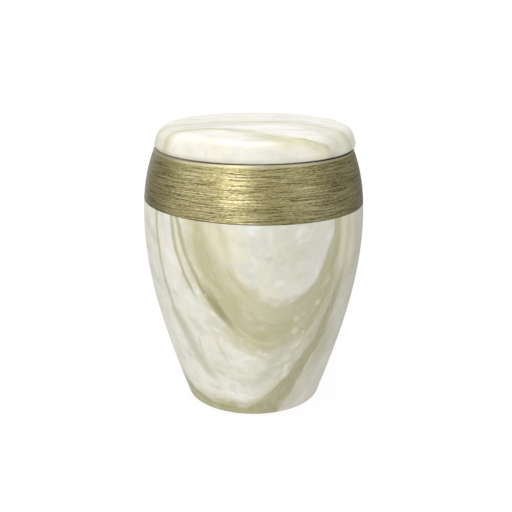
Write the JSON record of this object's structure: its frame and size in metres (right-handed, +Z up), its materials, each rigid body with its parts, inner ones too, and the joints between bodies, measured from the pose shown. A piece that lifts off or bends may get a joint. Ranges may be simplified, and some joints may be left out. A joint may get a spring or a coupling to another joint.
{
  "type": "cremation urn",
  "caption": "Lidded cremation urn: a hollow marble body that narrows to a small foot, a brushed brass band round its shoulder and a low domed lid that lifts off.",
  "frame": {"origin": "centre of the foot, on the surface that the urn stands on", "axes": "+Z up along the turned axis; -Y towards the side that the picture shows; the band's lower edge falls towards +X"},
  "size_m": [0.21, 0.21, 0.2699],
  "materials": {
    "marble": "polished cream marble with flowing sage-green veins",
    "brushed_brass": "coarsely brushed round the urn, satin, aged to an olive tone"
  },
  "bodies": {
    "root": {"body": "marble", "brass_band": "brushed_brass", "lid": "marble"}
  },
  "joints": []
}
